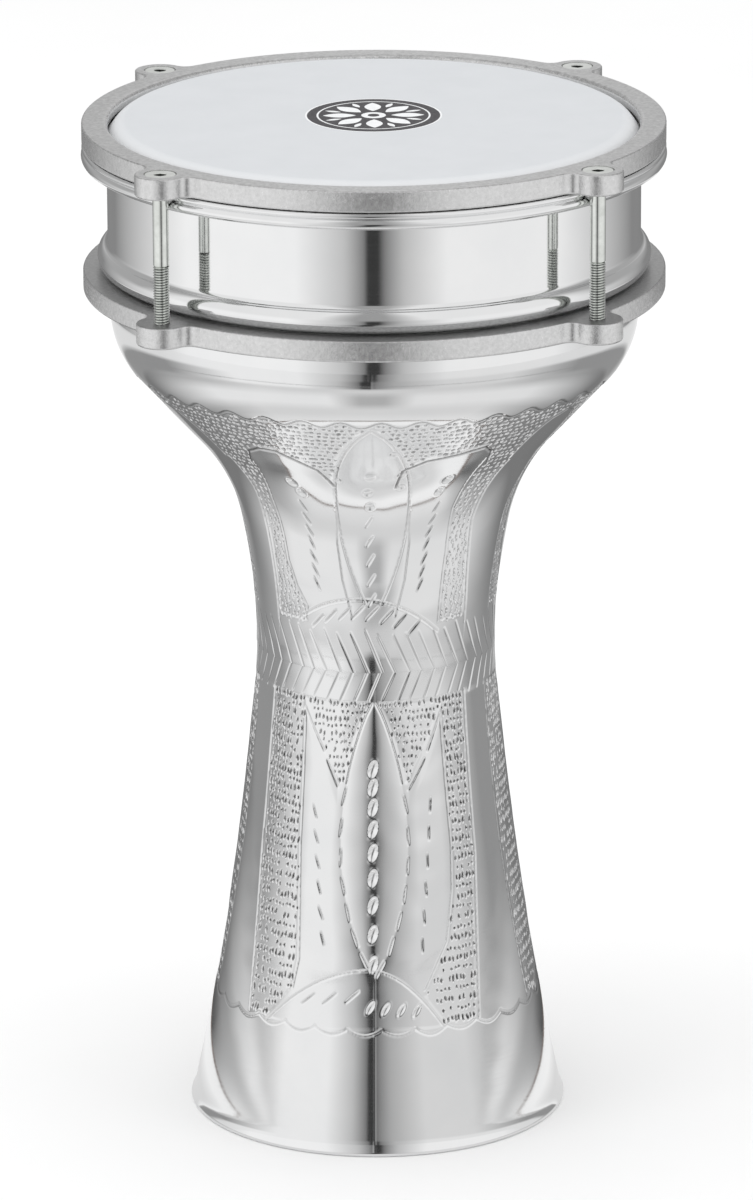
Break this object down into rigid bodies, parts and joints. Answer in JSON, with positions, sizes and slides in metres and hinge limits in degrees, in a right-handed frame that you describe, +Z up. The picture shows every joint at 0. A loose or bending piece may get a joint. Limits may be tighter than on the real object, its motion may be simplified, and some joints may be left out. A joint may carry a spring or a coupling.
{
  "type": "darbuka",
  "caption": "Goblet-shaped hand drum with an engraved spun aluminium shell, a film head in a hoop, and cast rings drawn together by countersunk screws.",
  "frame": {"origin": "centre of the foot's resting face, on the drum's axis", "axes": "+Z up along the drum's axis to the playing face; the four pairs of ears lie at 45 degrees to +X and +Y; -Y is the front"},
  "size_m": [0.2188, 0.2188, 0.3871],
  "materials": {
    "shell": "spun and polished, hand engraved",
    "cast_ring": "raw casting, tumbled matte",
    "film": "smooth white polyester film",
    "hoop": "bright extruded",
    "resin": "cast",
    "badge": "screen print",
    "screw": "bright zinc"
  },
  "bodies": {
    "shell": {"bowl_shell": "shell", "foot_shell": "shell", "bottom_ring": "cast_ring", "drumhead_film": "film", "drumhead_hoop": "hoop", "drumhead_resin": "resin", "head_badge": "badge"},
    "tension_ring": {"top_ring": "cast_ring"},
    "screw_1": {"tension_screw_1": "screw"},
    "screw_2": {"tension_screw_2": "screw"},
    "screw_3": {"tension_screw_3": "screw"},
    "screw_4": {"tension_screw_4": "screw"}
  },
  "joints": [
    {"name": "ring_travel", "type": "slide", "parent": "shell", "child": "tension_ring", "axis": [0, 0, 1], "range_m": [0, 0.004]},
    {"name": "screw_1_turn", "type": "hinge", "parent": "tension_ring", "child": "screw_1", "pos_m": [0.07969, 0.07969, 0.3865], "axis": [0, 0, 1], "range_deg": [0, 1440]},
    {"name": "screw_2_turn", "type": "hinge", "parent": "tension_ring", "child": "screw_2", "pos_m": [-0.07969, 0.07969, 0.3865], "axis": [0, 0, 1], "range_deg": [0, 1440]},
    {"name": "screw_3_turn", "type": "hinge", "parent": "tension_ring", "child": "screw_3", "pos_m": [-0.07969, -0.07969, 0.3865], "axis": [0, 0, 1], "range_deg": [0, 1440]},
    {"name": "screw_4_turn", "type": "hinge", "parent": "tension_ring", "child": "screw_4", "pos_m": [0.07969, -0.07969, 0.3865], "axis": [0, 0, 1], "range_deg": [0, 1440]}
  ],
  "couplings": [
    {"joint": "screw_1_turn", "follows": "ring_travel", "rad_per_m": 6283.2},
    {"joint": "screw_2_turn", "follows": "ring_travel", "rad_per_m": 6283.2},
    {"joint": "screw_3_turn", "follows": "ring_travel", "rad_per_m": 6283.2},
    {"joint": "screw_4_turn", "follows": "ring_travel", "rad_per_m": 6283.2}
  ]
}
